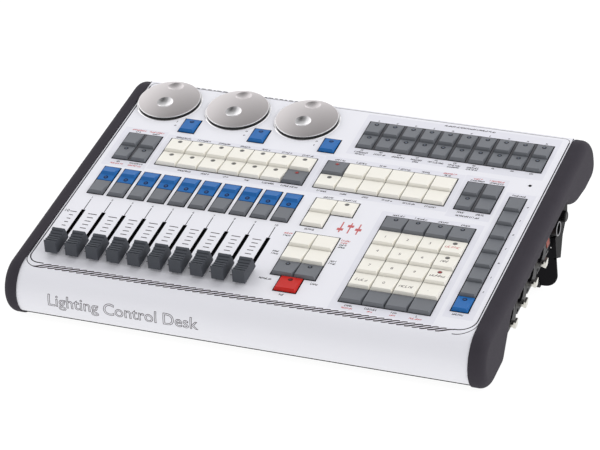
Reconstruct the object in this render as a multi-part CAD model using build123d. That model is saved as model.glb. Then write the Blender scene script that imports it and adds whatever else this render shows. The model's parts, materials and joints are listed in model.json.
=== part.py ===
from build123d import *
from math import atan2, cos, degrees, hypot, radians, sin, sqrt
import os

# Lighting control desk: sheet-metal case, moulded end cheeks, key blocks, faders, jog wheels, fold-out leg.
#
# Everything is drawn in the panel frame and tilted at the end:
#   x  right, from the desk's centre line
#   y  back along the panel, from the rear edge of the numeric keypad
#   z  out of the panel, from its top face
# In the written parts the desk stands on its cheeks and its leg, with the floor at z = 0.

# ---- driving dimensions (mm) ----
TILT = 15.5                # panel slope when the leg is out, degrees

PANEL_WIDTH = 387.0
HALF = PANEL_WIDTH / 2
PANEL_REAR = 138.6
SHEET = 2.0                # top panel
NOSE_Y = -124.0            # where the flat panel turns into the rounded front
NOSE_RADIUS = 24.0
NOSE_END = 214.0           # angle at which the rounded front ends, degrees
TRAY_SHEET = 1.5

CHEEK_THICKNESS = 13.0
CHEEK_PROUD = 1.0          # the cheeks stand this much above the panel
CHEEK_ROUND = 8.0

DEEP_FRONT = (-105.0, -50.0)   # bottom of the case, front end (y, z)
DEEP_REAR = (93.5, -59.0)      # bottom of the case, rear end
BOTTOM_SLOPE = degrees(atan2(DEEP_FRONT[1] - DEEP_REAR[1], DEEP_REAR[0] - DEEP_FRONT[0]))
SHALLOW_Z = -37.0              # underside behind the leg recess
FOOT_HEIGHT = 5.0

KEY_PITCH = 19.05
NARROW_PITCH = 16.5
NARROW_WIDTH = 14.23
KEY_GAP = 0.5
KEY_TRAVEL = 2.5
KEY_HEIGHT = 3.1
KEY_LEAN = 1.35            # how far a key's sides slope in
KEY_SKIRT = 4.0
KEY_STEM = 1.6

STRIP_PITCH = 18.43        # playback strips: key pair, slot and fader
FIRST_STRIP = -173.9
STRIPS = 10
FADER_TRAVEL = 48.6
FADER_REST_Y = -102.8
SLOT_WIDTH = 3.1
CAP_WIDTH = 10.9
CAP_LENGTH = 22.8
CAP_BOTTOM, CAP_TOP = 2.6, 14.8

WHEEL_PITCH = 64.23
FIRST_WHEEL = (-164.8, 112.6)
WHEELS = 3
WHEEL_RADIUS = 27.4
WHEEL_RIM = 2.9
DOME_HEIGHT = 2.85
DIMPLE_RADIUS = 7.6
DIMPLE_DEPTH = 2.0
DIMPLES = ((-0.3, -8.1), (-1.0, 17.6))
SHAFT_RADIUS = 3.0
SHAFT_CLEARANCE = 0.05

PIVOT = (79.0, -36.0)      # leg hinge (y, z)
LEG_Y = 62.5               # front face of the leg's plate
LEG_SHEET = 2.0
LEG_TOP = -60.0
ARM_THICKNESS = 2.5
ARM_GAP = 2.0              # between side plate and leg arm
STUD_RADIUS = 2.5
KNOB_RADIUS = 4.8
KNOB_LENGTH = 5.0

SOCKET_PITCH = 27.0
FIRST_SOCKET = -50.0
SOCKETS = 4
SOCKET_Z = -38.5
SOCKET_FLANGE = (26.0, 28.0)
SOCKET_RADIUS = 9.6
LATCH_TRAVEL = 1.5
LATCH_PAD = (2.0, 6.4, 8.0)
ROCKER_Y = 51.2
ROCKER_PIN = (HALF - 1.0, SOCKET_Z)    # x and z of the rocker's pivot pin
PIN_RADIUS = 1.2
INLET_Y = 64.6
INLET_RADIUS = 6.4

INNER_HALF = HALF - TRAY_SHEET
OUTER_HALF = HALF + CHEEK_THICKNESS
CHEEK_RADIUS = NOSE_RADIUS + CHEEK_PROUD
FLOOR_DROP = -(NOSE_Y * sin(radians(TILT)) - NOSE_RADIUS * cos(radians(TILT)) - CHEEK_RADIUS)
BOARD_TOP = -14.0
MAIN_BOARD_TOP = -34.0
BOARD = 1.6
PILLARS = [(x, y) for x in (-42, 60, 162) for y in (-62, 70)]
CHEEK_SCREWS = [(-122, -16), (-20, -10), (128, -20)]
CHEEK_SCREW = 1.5          # radius


class Block:
    """A rectangular group of keys in one opening of the panel."""

    def __init__(self, x, y, columns, rows, pitch=KEY_PITCH, missing=()):
        self.x, self.y, self.columns, self.rows = x, y, columns, rows
        self.pitch, self.missing = pitch, missing
        self.key_width = NARROW_WIDTH if pitch < KEY_PITCH else KEY_PITCH
        self.width = pitch * (columns - 1) + self.key_width
        self.depth = KEY_PITCH * rows

    def keys(self, wanted=None):
        """Centre line x and rear edge y of each wanted (column, row)."""
        for row in range(self.rows):
            for column in range(self.columns):
                cell = (column, row)
                if cell in self.missing or (wanted is not None and cell not in wanted):
                    continue
                yield self.x + self.pitch * column + self.key_width / 2, self.y - KEY_PITCH * row


def cells(columns, rows):
    return [(column, row) for row in rows for column in columns]


PAGE = Block(-180.6, 61.6, 2, 2, NARROW_PITCH)
MENU = Block(-140.9, 61.8, 7, 2)
SELECT = Block(2.4, 62.0, 6, 2)
MACRO = Block(17.9, 123.5, 10, 2, NARROW_PITCH)
LAYER = Block(126.3, 60.4, 2, 2, NARROW_PITCH)
SOFT = Block(166.3, 48.1, 1, 8, NARROW_PITCH)
NUMERIC = Block(76.5, 0.0, 4, 6)
STEP = Block(11.1, 10.3, 2, 2, missing=[(1, 1)])
EDIT = Block(11.1, -37.2, 2, 3)
RELEASE = Block(20.6, -94.4, 1, 1)
WHEEL_KEYS = [Block(-140.1 + WHEEL_PITCH * i, 91.7, 1, 1, NARROW_PITCH) for i in range(WHEELS)]
PLAYBACK = [Block(FIRST_STRIP - NARROW_WIDTH / 2 + STRIP_PITCH * i, 10.8, 1, 2, NARROW_PITCH)
            for i in range(STRIPS)]
BLOCKS = [PAGE, MENU, SELECT, MACRO, LAYER, SOFT, NUMERIC, STEP, EDIT, RELEASE] + WHEEL_KEYS + PLAYBACK

STRIP_X = [FIRST_STRIP + STRIP_PITCH * i for i in range(STRIPS)]
WHEEL_CENTRES = [(FIRST_WHEEL[0] + WHEEL_PITCH * i, FIRST_WHEEL[1]) for i in range(WHEELS)]
SOCKET_YS = [FIRST_SOCKET + SOCKET_PITCH * i for i in range(SOCKETS)]
SIDES = ("left", "right")


# ---- helpers ----
def block_box(low, high):
    """Box between two corners."""
    size = [b - a for a, b in zip(low, high)]
    return Pos(*[(a + b) / 2 for a, b in zip(low, high)]) * Box(*size)


def prism(face, x0, x1):
    """Extrude a face drawn in (y, z) from x0 to x1."""
    return Pos(x0, 0, 0) * extrude(Plane.YZ * face, amount=x1 - x0)


def polygon(points):
    return make_face(Polyline(*points, close=True))


def strip(points, thickness):
    """Face of a bent sheet whose outer side runs through the points; the sheet lies to their left."""
    inner = []
    for i, point in enumerate(points):
        before = points[max(i - 1, 0)]
        after = points[min(i + 1, len(points) - 1)]
        here = before if i == len(points) - 1 else point
        there = after if i < len(points) - 1 else point
        first = Vector(point[0] - before[0], point[1] - before[1]) if i else None
        second = Vector(there[0] - here[0], there[1] - here[1])
        first = (first or second).normalized()
        second = second.normalized()
        middle = Vector(-first.Y - second.Y, first.X + second.X)
        scale = 2 * thickness / (middle.length ** 2)
        inner.append((point[0] + middle.X * scale, point[1] + middle.Y * scale))
    return polygon(list(points) + inner[::-1])


def cylinder_x(radius, x0, x1, y, z):
    """Cylinder along x."""
    return Pos((x0 + x1) / 2, y, z) * Rot(0, 90, 0) * Cylinder(radius, abs(x1 - x0))


def cylinder_z(radius, x, y, z0, z1):
    return Pos(x, y, (z0 + z1) / 2) * Cylinder(radius, abs(z1 - z0))


def group(solids):
    """One part made of separate solids."""
    return Compound(children=[solid for item in solids for solid in item.solids()])


def bottom_z(y):
    """Height of the case's outer bottom at y."""
    (y0, z0), (y1, z1) = DEEP_FRONT, DEEP_REAR
    return z0 + (z1 - z0) * (y - y0) / (y1 - y0)


# ---- case ----
def nose_point(radius, angle=NOSE_END):
    return (NOSE_Y + radius * cos(radians(angle)), -NOSE_RADIUS + radius * sin(radians(angle)))


def nose_outline(radius):
    """Flat panel line and rounded front at a given radius, from the rear to the front edge."""
    top = radius - NOSE_RADIUS
    line = Line((PANEL_REAR, top), (NOSE_Y, top))
    arc = CenterArc((NOSE_Y, -NOSE_RADIUS), radius, 90, NOSE_END - 90)
    return line, arc


def panel_openings():
    cuts = []
    for block in BLOCKS:
        for x0, y0, width, depth in opening_rectangles(block):
            cuts.append(block_box((x0, y0 - depth, -SHEET - 1), (x0 + width, y0, 1)))
    for x in STRIP_X:
        rear = FADER_REST_Y + FADER_TRAVEL + 4
        front = FADER_REST_Y - 4
        cuts.append(block_box((x - SLOT_WIDTH / 2, front, -SHEET - 1), (x + SLOT_WIDTH / 2, rear, 1)))
    for x, y in WHEEL_CENTRES:
        cuts.append(cylinder_z(SHAFT_RADIUS + 1.5, x, y, -SHEET - 1, 1))
    cuts.append(cylinder_z(1.6, 177.4, 66.8, -SHEET - 1, 1))
    return cuts


def opening_rectangles(block):
    """Rear-left corner, width and depth of the rectangles that make a block's opening."""
    if not block.missing:
        return [(block.x, block.y, block.width, block.depth)]
    return [(block.x, block.y, block.width, KEY_PITCH), (block.x, block.y, KEY_PITCH, block.depth)]


def top_panel():
    line, arc = nose_outline(NOSE_RADIUS)
    inner_line, inner_arc = nose_outline(NOSE_RADIUS - SHEET)
    ends = [Line(nose_point(NOSE_RADIUS), nose_point(NOSE_RADIUS - SHEET)),
            Line((PANEL_REAR, 0), (PANEL_REAR, -SHEET))]
    face = make_face([line, arc, inner_line, inner_arc] + ends)
    panel = prism(face, -HALF, HALF)
    return panel - panel_openings()


def tray_line():
    """Outer side of the bottom tray, front to rear (y, z)."""
    lip_y = nose_point(NOSE_RADIUS - SHEET)[0] + 1.2
    return [(lip_y, -29.0), (lip_y, -38.2), DEEP_FRONT, DEEP_REAR, (DEEP_REAR[0], SHALLOW_Z),
            (PANEL_REAR - TRAY_SHEET, SHALLOW_Z)]


def bottom_tray():
    tray = prism(strip(tray_line(), TRAY_SHEET), -INNER_HALF, INNER_HALF)
    tray -= [cylinder_z(1.5, x, y, -70, -45) for x, y in PILLARS]
    slots = [block_box((x - 1.5, y - 20, -70), (x + 1.5, y + 20, -48))
             for y in (-20, 40) for x in range(-60, 61, 12)]
    return tray - slots


def rear_panel():
    face = polygon([(PANEL_REAR - TRAY_SHEET, -SHEET), (PANEL_REAR, -SHEET),
                    (PANEL_REAR, SHALLOW_Z), (PANEL_REAR - TRAY_SHEET, SHALLOW_Z)])
    panel = prism(face, -INNER_HALF, INNER_HALF)
    vents = [block_box((x - 1.2, PANEL_REAR - 5, -28), (x + 1.2, PANEL_REAR + 5, -10))
             for x in range(60, 160, 7)]
    ports = [block_box((x - w / 2, PANEL_REAR - 5, z - h / 2), (x + w / 2, PANEL_REAR + 5, z + h / 2))
             for x, z, w, h in rear_ports()]
    return panel - vents - ports


def rear_ports():
    """Centre x, z, width and height of the data sockets in the rear panel."""
    return [(-150, -19, 12.6, 11.2), (-128, -19, 14.2, 6.8), (-108, -19, 14.2, 6.8), (-84, -19, 16.2, 13.6)]


def side_face():
    inner_line, inner_arc = nose_outline(NOSE_RADIUS - SHEET)
    below = [nose_point(NOSE_RADIUS - SHEET)] + tray_line()[1:] + [(PANEL_REAR, SHALLOW_Z),
                                                                   (PANEL_REAR, -SHEET)]
    return make_face([inner_line, inner_arc, Polyline(*below)])


def side_plate(side):
    plate = prism(side_face(), INNER_HALF, HALF)
    for y in socket_ys(side):
        plate -= cylinder_x(SOCKET_RADIUS + 0.2, INNER_HALF - 1, HALF + 1, y, SOCKET_Z)
        plate -= latch_box(y, INNER_HALF - 1, 0.4)
    if side == "right":
        plate -= block_box((INNER_HALF - 1, ROCKER_Y - 4.8, SOCKET_Z - 9.8),
                           (HALF + 1, ROCKER_Y + 4.8, SOCKET_Z + 9.8))
        plate -= cylinder_x(INLET_RADIUS - 0.8, INNER_HALF - 1, HALF + 1, INLET_Y, SOCKET_Z)
    plate -= cylinder_x(STUD_RADIUS + 0.05, INNER_HALF - 1, HALF + 1, *PIVOT)
    plate -= [cylinder_x(CHEEK_SCREW + 0.1, INNER_HALF - 1, HALF + 1, y, z) for y, z in CHEEK_SCREWS]
    return mirror_to(side, plate)


def mirror_to(side, shape):
    return shape if side == "right" else mirror(shape, about=Plane.YZ)


def socket_ys(side):
    return SOCKET_YS if side == "right" else []


def cheek_outline():
    """End cheek seen from the side: rounded nose and rear, raised between the two lobes."""
    front = NOSE_Y - CHEEK_RADIUS
    base = -NOSE_RADIUS - CHEEK_RADIUS
    rear, low, band, top = 154.5, -43.5, -21.5, CHEEK_PROUD
    points = [(20, top), (front, top), (front, base), (-100, base), (-73.5, band), (0, band), (76, band),
              (98, -38.5), (124, low), (rear, low), (rear, top)]
    radii = [0, CHEEK_RADIUS - 0.01, CHEEK_RADIUS - 0.01, 12, 9, 0, 9, 28, 30, 14, 27]
    return points, radii


def rounded_face(points, radii):
    """Closed outline with its own corner radius at each point; a radius of 0 is a point on a side."""
    pieces = []
    ends = []
    count = len(points)
    for i, (point, radius) in enumerate(zip(points, radii)):
        before, after = Vector(*points[i - 1]), Vector(*points[(i + 1) % count])
        here = Vector(*point)
        if not radius:
            ends.append((here, here))
            continue
        inward, outward = (before - here).normalized(), (after - here).normalized()
        half = radians(inward.get_angle(outward)) / 2
        reach = radius * cos(half) / sin(half)
        start, stop = here + inward * reach, here + outward * reach
        bisector = (inward + outward).normalized()
        middle = here + bisector * (radius / sin(half) - radius)
        pieces.append(ThreePointArc(start, middle, stop))
        ends.append((start, stop))
    for i, (_, leave) in enumerate(ends):
        arrive = ends[(i + 1) % count][0]
        if (arrive - leave).length > 1e-6:
            pieces.append(Line(leave, arrive))
    return make_face(pieces)


def cheek(side):
    body = prism(rounded_face(*cheek_outline()), HALF, OUTER_HALF)
    outer = body.faces().sort_by(Axis.X)[-1]
    body = fillet(outer.edges(), CHEEK_ROUND)
    # pocket for the leg's arm, standing and folded
    floor = HALF + ARM_GAP + ARM_THICKNESS + 0.8
    body -= cylinder_x(22.7, HALF - 1, floor, *PIVOT)
    body -= block_box((HALF - 1, PIVOT[0], -60), (floor, 121, -31.5))
    body -= [cylinder_x(CHEEK_SCREW, HALF - 1, HALF + 8, y, z) for y, z in CHEEK_SCREWS]
    return mirror_to(side, body)


# ---- connectors and switch on the right side ----
def output_sockets():
    """Flange and shell of each data output: a round cup with a free ring for the plug's shell."""
    shells = []
    for y in SOCKET_YS:
        depth, height = SOCKET_FLANGE
        flange = block_box((HALF, y - depth / 2, SOCKET_Z - height / 2),
                           (HALF + 2, y + depth / 2, SOCKET_Z + height / 2))
        flange = fillet(flange.edges().filter_by(Axis.X), 2.5)
        barrel = cylinder_x(SOCKET_RADIUS, HALF - 18, HALF + 2, y, SOCKET_Z)
        hollow = cylinder_x(SOCKET_RADIUS - 0.8, HALF - 16, HALF + 3, y, SOCKET_Z)
        core = cylinder_x(5.6, HALF - 17, HALF + 1, y, SOCKET_Z)
        for angle in range(0, 360, 72):
            dy, dz = 3 * cos(radians(angle)), 3 * sin(radians(angle))
            core -= cylinder_x(0.9, HALF - 10, HALF + 2, y + dy, SOCKET_Z + dz)
        screws = [cylinder_x(1.6, HALF - 1, HALF + 3, y + s * 9.5, SOCKET_Z + s * 11.0) for s in (-1, 1)]
        shells.append((flange + barrel) - hollow + core - screws - latch_box(y, HALF - 1, 0.4))
    return group(shells)


def latch_box(y, inner, gap=0.0):
    """Tongue of a release tab from x = inner outwards, or its slot when a gap is given."""
    return block_box((inner, y - 3 - gap, SOCKET_Z - 12.7 - gap),
                     (HALF + 5, y + 3 + gap, SOCKET_Z - 9.9 + gap))


def socket_latches():
    """Metal release tab of each socket: a tongue through the flange with a pressed-out pad."""
    tabs = []
    for y in SOCKET_YS:
        pad = fillet(Box(*LATCH_PAD).edges().filter_by(Axis.X), 1.6)
        pad = Pos(HALF + LATCH_TRAVEL + 4.4, y, SOCKET_Z - 10.2) * Rot(0, 8, 0) * pad
        tabs.append(latch_box(y, HALF + 0.05) + pad)
    return group(tabs)


def rocker_frame():
    frame = block_box((HALF, ROCKER_Y - 5.9, SOCKET_Z - 11), (HALF + 1.5, ROCKER_Y + 5.9, SOCKET_Z + 11))
    well = block_box((HALF - 12, ROCKER_Y - 4.7, SOCKET_Z - 9.7), (HALF + 1, ROCKER_Y + 4.7, SOCKET_Z + 9.7))
    room = block_box((HALF - 9, ROCKER_Y - 4.0, SOCKET_Z - 9.0), (HALF + 5, ROCKER_Y + 4.0, SOCKET_Z + 9.0))
    return frame + well - room - rocker_pin(PIN_RADIUS + 0.05, 4.8)


def rocker_pin(radius, reach):
    x, z = ROCKER_PIN
    return Pos(x, ROCKER_Y, z) * Rot(90, 0, 0) * Cylinder(radius, 2 * reach)


def power_rocker():
    """Rocker with its lower end pressed in, on a pin through the frame's walls."""
    profile = polygon([(-3.4, -8.4), (2.0, -8.6), (1.6, -0.4), (3.6, 8.0), (-3.4, 8.6), (-6.0, 0)])
    body = extrude(Plane.XZ * profile, amount=3.7, both=True)
    return Pos(HALF, ROCKER_Y, SOCKET_Z) * body + rocker_pin(PIN_RADIUS, 4.6)


def power_inlet():
    """Round locking power socket: flange ring, shell and contact block."""
    z = SOCKET_Z
    ring = cylinder_x(INLET_RADIUS, HALF, HALF + 7, INLET_Y, z)
    ring -= cylinder_x(INLET_RADIUS - 1.2, HALF - 1, HALF + 8, INLET_Y, z)
    shell = cylinder_x(INLET_RADIUS - 1.0, HALF - 14, HALF + 3, INLET_Y, z)
    shell -= cylinder_x(INLET_RADIUS - 1.9, HALF - 12, HALF + 8, INLET_Y, z)
    contacts = [cylinder_x(0.7, HALF - 12.5, HALF + 2, INLET_Y + dy, z + dz)
                for dy, dz in ((-1.8, 1.0), (1.8, 1.0), (0, -2.0))]
    return ring + shell + contacts


def data_sockets():
    """Open metal shells behind the rear panel."""
    shells = []
    for x, z, width, height in rear_ports():
        rear = PANEL_REAR - 0.4
        body = block_box((x - width / 2 + 0.1, rear - 16, z - height / 2 + 0.1),
                         (x + width / 2 - 0.1, rear, z + height / 2 - 0.1))
        room = block_box((x - width / 2 + 1, rear - 13, z - height / 2 + 1),
                         (x + width / 2 - 1, rear + 1, z + height / 2 - 1))
        tongue = block_box((x - width / 2 + 3, rear - 14, z - 0.9), (x + width / 2 - 3, rear - 3, z + 0.9))
        shells.append(body - room + tongue)
    return group(shells)


# ---- inside ----
def key_board():
    """L-shaped board under every key; the faders sit beside its front leg."""
    bottom = BOARD_TOP - BOARD
    rear = block_box((-186, -26, bottom), (188, 121.5, BOARD_TOP))
    return rear + block_box((2, -116, bottom), (188, -26, BOARD_TOP))


def key_switches():
    """One push switch under each key."""
    size, top = 10.0, -KEY_SKIRT - KEY_STEM - KEY_TRAVEL - 0.3
    switches = []
    for block in BLOCKS:
        for x, rear in block.keys():
            y = rear - KEY_PITCH / 2
            switches.append(block_box((x - size / 2, y - size / 2, BOARD_TOP),
                                      (x + size / 2, y + size / 2, top)))
    return group(switches)


def fader_bodies():
    """Metal channel of each fader, open along the top for its lever."""
    bodies = []
    for x in STRIP_X:
        front, rear = FADER_REST_Y, FADER_REST_Y + FADER_TRAVEL
        body = block_box((x - 6, front - 13, -15), (x + 6, rear + 13, -SHEET))
        room = block_box((x - 3, front - 8, -13.5), (x + 3, rear + 8, -SHEET - 0.8))
        slot = block_box((x - 1, front - 4, -4), (x + 1, rear + 4, 0))
        bodies.append(body - room - slot)
    return group(bodies)


def encoder_bodies():
    bodies = []
    for x, y in WHEEL_CENTRES:
        body = block_box((x - 7, y - 7, -12.5), (x + 7, y + 7, -SHEET))
        body += cylinder_z(4.4, x, y, -SHEET, -0.2)
        body -= cylinder_z(SHAFT_RADIUS + SHAFT_CLEARANCE, x, y, -11, 1)
        bodies.append(body)
    return group(bodies)


def main_board():
    return block_box((-50, -70, MAIN_BOARD_TOP - BOARD), (170, 78, MAIN_BOARD_TOP))


def power_supply():
    box = block_box((-175, -60, -50.4), (-85, 50, -24))
    holes = [block_box((x, y, -25), (x + 2.4, y + 14, -20))
             for x in range(-166, -96, 8) for y in (-50, -28, -6, 16)]
    return fillet(box.edges().filter_by(Axis.Z), 3) - holes


def spacers():
    """Pillars from the bottom tray up to the main board and from there to the key board."""
    posts = []
    for x, y in PILLARS:
        floor = bottom_z(y) + TRAY_SHEET + 0.15
        threaded = cylinder_z(1.3, x, y, floor - 1, floor + 8)
        posts.append(cylinder_z(3, x, y, floor, MAIN_BOARD_TOP - BOARD) - threaded)
        posts.append(cylinder_z(3, x, y, MAIN_BOARD_TOP, BOARD_TOP - BOARD))
    return group(posts)


def case_screws():
    """Screws from inside the case into the cheeks, and from below through the tray into the pillars."""
    screws = []
    for y, z in CHEEK_SCREWS:
        for side in SIDES:
            screw = cylinder_x(2.8, INNER_HALF - 1.8, INNER_HALF, y, z)
            screw += cylinder_x(CHEEK_SCREW - 0.02, INNER_HALF - 0.5, HALF + 7.5, y, z)
            screws.append(mirror_to(side, screw))
    for x, y in PILLARS:
        z = bottom_z(y)
        screws.append(cylinder_z(2.8, x, y, z - 1.5, z - 0.1) + cylinder_z(1.25, x, y, z - 1, z + 7))
    return group(screws)


def tray_feet():
    """Rubber feet for use with the leg folded away."""
    foot = Rot(-BOTTOM_SLOPE, 0, 0) * Cone(7.5, 9.0, FOOT_HEIGHT)
    feet = []
    for x in (-150, 150):
        for y in (-88, 50):
            feet.append(Pos(x, y, bottom_z(y) - FOOT_HEIGHT / 2 - 0.02) * foot)
    return group(feet)


# ---- leg ----
def floor_z(y):
    """Height of the floor below the panel point y, along the panel's normal."""
    return -(FLOOR_DROP + y * sin(radians(TILT))) / cos(radians(TILT))


PLATE_BOTTOM = floor_z(LEG_Y) + 2.2
ARM_INNER = HALF + ARM_GAP
ARM_OUTER = ARM_INNER + ARM_THICKNESS
ARM_FOOT = (73.2, -75.3)
ARM_FRONT_Z = -68.2        # where the arm leaves the plate
ARM_SHOULDER = [(71.8, -42), (69.5, -46), (LEG_Y, -47.5)]    # clear of the power inlet


def leg_plate():
    """Wide cross plate with rounded lower corners, narrower above where it meets the arms."""
    wide = ARM_OUTER - 0.5
    step = ARM_FRONT_Z - 1.6
    points = [(-ARM_INNER, LEG_TOP), (ARM_INNER, LEG_TOP), (ARM_INNER, step), (wide, step),
              (wide, PLATE_BOTTOM), (-wide, PLATE_BOTTOM), (-wide, step), (-ARM_INNER, step)]
    radii = [0, 0, 0, 0, 12, 12, 0, 0]
    face = rounded_face(points, radii)
    return Pos(0, LEG_Y + LEG_SHEET, 0) * extrude(Plane.XZ * face, amount=LEG_SHEET)


def leg_foot():
    """Grooved rubber strip pushed onto the plate's lower edge, cut flat to the floor."""
    front, rear, wall = LEG_Y, LEG_Y + LEG_SHEET, 1.0
    top = PLATE_BOTTOM + 4.0
    outline = [(front - wall, floor_z(front - wall)), (rear + wall, floor_z(rear + wall)), (rear + wall, top),
               (rear, top), (rear, PLATE_BOTTOM), (front, PLATE_BOTTOM), (front, top), (front - wall, top)]
    return prism(polygon(outline), -182, 182)


def leg_arm(side):
    """Arm bent back from the plate, with a round eye for the knob's stud."""
    y, z = PIVOT
    points = [(LEG_Y, ARM_FRONT_Z), ARM_FOOT, (81.7, -57.8), (89.8, -51.2), (97.0, -44.0), (98.0, -38.0),
              (88, -31.5), (y, -28.6), (73.6, -31.0), (71.8, -35.0)]
    arm = prism(polygon(points + ARM_SHOULDER), ARM_INNER, ARM_OUTER)
    arm -= cylinder_x(STUD_RADIUS + 0.05, ARM_INNER - 1, ARM_OUTER + 1, y, z)
    return mirror_to(side, arm)


def leg_knob(side):
    """Clamping knob: ribbed barrel, washer face and a stud through the arm into the case."""
    y, z = PIVOT
    barrel = cylinder_x(KNOB_RADIUS, ARM_OUTER + 0.3, ARM_OUTER + 0.3 + KNOB_LENGTH, y, z)
    outer = barrel.faces().sort_by(Axis.X)[-1]
    barrel = chamfer(outer.edges(), 0.6)
    ribs = 16
    for i in range(ribs):
        angle = radians(360 / ribs * i)
        dy, dz = KNOB_RADIUS * cos(angle), KNOB_RADIUS * sin(angle)
        barrel -= cylinder_x(0.45, ARM_OUTER + 1.3, ARM_OUTER + 1 + KNOB_LENGTH, y + dy, z + dz)
    stud = cylinder_x(STUD_RADIUS, INNER_HALF - 8, ARM_OUTER + 1, y, z)
    return mirror_to(side, barrel + stud)


# ---- keys ----
def key_sides(width):
    """Section across a key: upright skirt, sloping sides."""
    half = width / 2 - KEY_GAP / 2
    rise = KEY_HEIGHT + 0.4
    side = half - KEY_LEAN * (rise - 0.2) / KEY_HEIGHT
    return polygon([(-half, -KEY_SKIRT), (half, -KEY_SKIRT), (half, 0.2),
                    (side, rise), (-side, rise), (-half, 0.2)])


def wedge_profile():
    """Side view of a key, from its rear edge forwards: the top rises to a steep front face."""
    rear, front = -KEY_GAP / 2, -KEY_PITCH + KEY_GAP / 2
    return polygon([(rear, -KEY_SKIRT), (rear, 0.6), (front + 1.1, KEY_HEIGHT), (front, 0.2),
                    (front, -KEY_SKIRT)])


def step_profile():
    """Side view of a playback select key: raised rear pad and a low ledge for its lamp."""
    rear, front = -KEY_GAP / 2, -KEY_PITCH + KEY_GAP / 2
    return polygon([(rear, -KEY_SKIRT), (rear, 0.6), (-9.6, KEY_HEIGHT), (-11.6, 0.9), (front, 0.6),
                    (front, -KEY_SKIRT)])


def key_cap(width, profile):
    """One key with its stem, centred on x = 0, rear edge at y = 0."""
    across = extrude(Plane.XZ * key_sides(width), amount=KEY_PITCH)
    cap = prism(profile, -width / 2, width / 2) & across
    middle, half = -KEY_PITCH / 2, 2.5
    stem = block_box((-half, middle - half, -KEY_SKIRT - KEY_STEM), (half, middle + half, -KEY_SKIRT))
    return cap + stem


def key_group(*picks, profile=wedge_profile):
    """Keys from (block, wanted cells) pairs."""
    caps = {}
    keys = []
    for block, wanted in picks:
        width = block.key_width
        if width not in caps:
            caps[width] = key_cap(width, profile())
        for x, y in block.keys(wanted):
            keys.append(Pos(x, y, 0) * caps[width])
    return group(keys)


def key_groups():
    last = [(6, 1)]
    first = [(0, 0)]
    ends = cells(range(4), (0, 5))
    return {
        "playback_keys_upper": key_group(*[(block, [(0, 0)]) for block in PLAYBACK], profile=step_profile),
        "playback_keys_lower": key_group(*[(block, [(0, 1)]) for block in PLAYBACK]),
        "wheel_keys": key_group(*[(block, None) for block in WHEEL_KEYS]),
        "page_keys": key_group((PAGE, None)),
        "menu_keys": key_group((MENU, [c for c in cells(range(7), (0, 1)) if c not in last])),
        "select_keys": key_group((SELECT, [c for c in cells(range(6), (0, 1)) if c not in first])),
        "shift_keys": key_group((MENU, last), (SELECT, first)),
        "macro_keys": key_group((MACRO, None)),
        "layer_keys": key_group((LAYER, None)),
        "soft_keys": key_group((SOFT, cells([0], range(7)))),
        "soft_select_key": key_group((SOFT, [(0, 7)])),
        "numeric_keys": key_group((NUMERIC, cells(range(4), range(1, 5)))),
        "numeric_function_keys": key_group((NUMERIC, ends)),
        "edit_keys": key_group((STEP, None), (EDIT, cells((0, 1), (0, 1)))),
        "edit_function_keys": key_group((EDIT, cells((0, 1), [2]))),
        "release_key": key_group((RELEASE, None)),
    }


# ---- faders and wheels ----
def fader_cap(x):
    """Cap with an upright front, a ribbed hollow top and a sloping rear, on a flat lever."""
    front, rear = -CAP_LENGTH / 2, CAP_LENGTH / 2
    top_front, top_rear = front + 0.9, rear - 4.6
    ribs, sag, rib = 6, 2.0, 0.55
    span = top_rear - top_front
    top = []
    steps = 4 * ribs + 1
    for i in range(steps + 1):
        along = i / steps
        dip = sag * 4 * along * (1 - along)
        groove = rib if i % 4 in (1, 2) and 0 < i < steps else 0.0
        top.append((top_front + span * along, CAP_TOP - dip - groove))
    side = polygon([(front, CAP_BOTTOM)] + top + [(rear, CAP_BOTTOM + 1.4), (rear, CAP_BOTTOM)])
    half = CAP_WIDTH / 2
    narrow, above = half - 0.25, CAP_TOP + 1
    across = polygon([(-half, CAP_BOTTOM), (half, CAP_BOTTOM), (narrow, above), (-narrow, above)])
    body = prism(side, -half, half) & extrude(Plane.XZ * across, amount=CAP_LENGTH, both=True)
    lever = block_box((-0.6, -2.6, -11.0), (0.6, 2.6, CAP_BOTTOM + 1))
    return Pos(x, FADER_REST_Y, 0) * (body + lever)


def dome_z(radius):
    """Height of the disc's spherical top at a radius."""
    edge = WHEEL_RADIUS - 0.6
    sphere = (edge ** 2 + DOME_HEIGHT ** 2) / (2 * DOME_HEIGHT)
    return WHEEL_RIM + DOME_HEIGHT - sphere + sqrt(sphere ** 2 - radius ** 2)


def wheel_disc(x, y):
    """Domed disc with two finger dimples, turned from one piece with its shaft."""
    rim = WHEEL_RADIUS - 0.1
    dome = ThreePointArc((rim - 0.5, WHEEL_RIM), (rim / 2, dome_z(rim / 2)), (0, dome_z(0)))
    edge = Polyline((0, dome_z(0)), (0, -10.0), (SHAFT_RADIUS, -10.0), (SHAFT_RADIUS, 0.9), (21.6, 0.9),
                    (21.6, 2.2), (rim - 0.3, 2.2), (rim, 2.5), (rim - 0.5, WHEEL_RIM))
    disc = revolve(Plane.XZ * make_face([dome, edge]), Axis.Z)
    ball = (DIMPLE_RADIUS ** 2 + DIMPLE_DEPTH ** 2) / (2 * DIMPLE_DEPTH)
    for dx, dy in DIMPLES:
        radius = hypot(dx, dy)
        slope = 2 * DOME_HEIGHT * radius / WHEEL_RADIUS ** 2
        lift = ball - DIMPLE_DEPTH
        centre = (dx + dx / radius * slope * lift, dy + dy / radius * slope * lift, dome_z(radius) + lift)
        disc -= Pos(*centre) * Sphere(ball)
    return Pos(x, y, 0) * disc


def wheel_grip(x, y):
    """Ribbed ring pressed under the disc's rim."""
    ring = cylinder_z(WHEEL_RADIUS - 0.1, 0, 0, 0.5, 2.2) - cylinder_z(21.6, 0, 0, 0, 3)
    return Pos(x, y, 0) * ring


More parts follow.
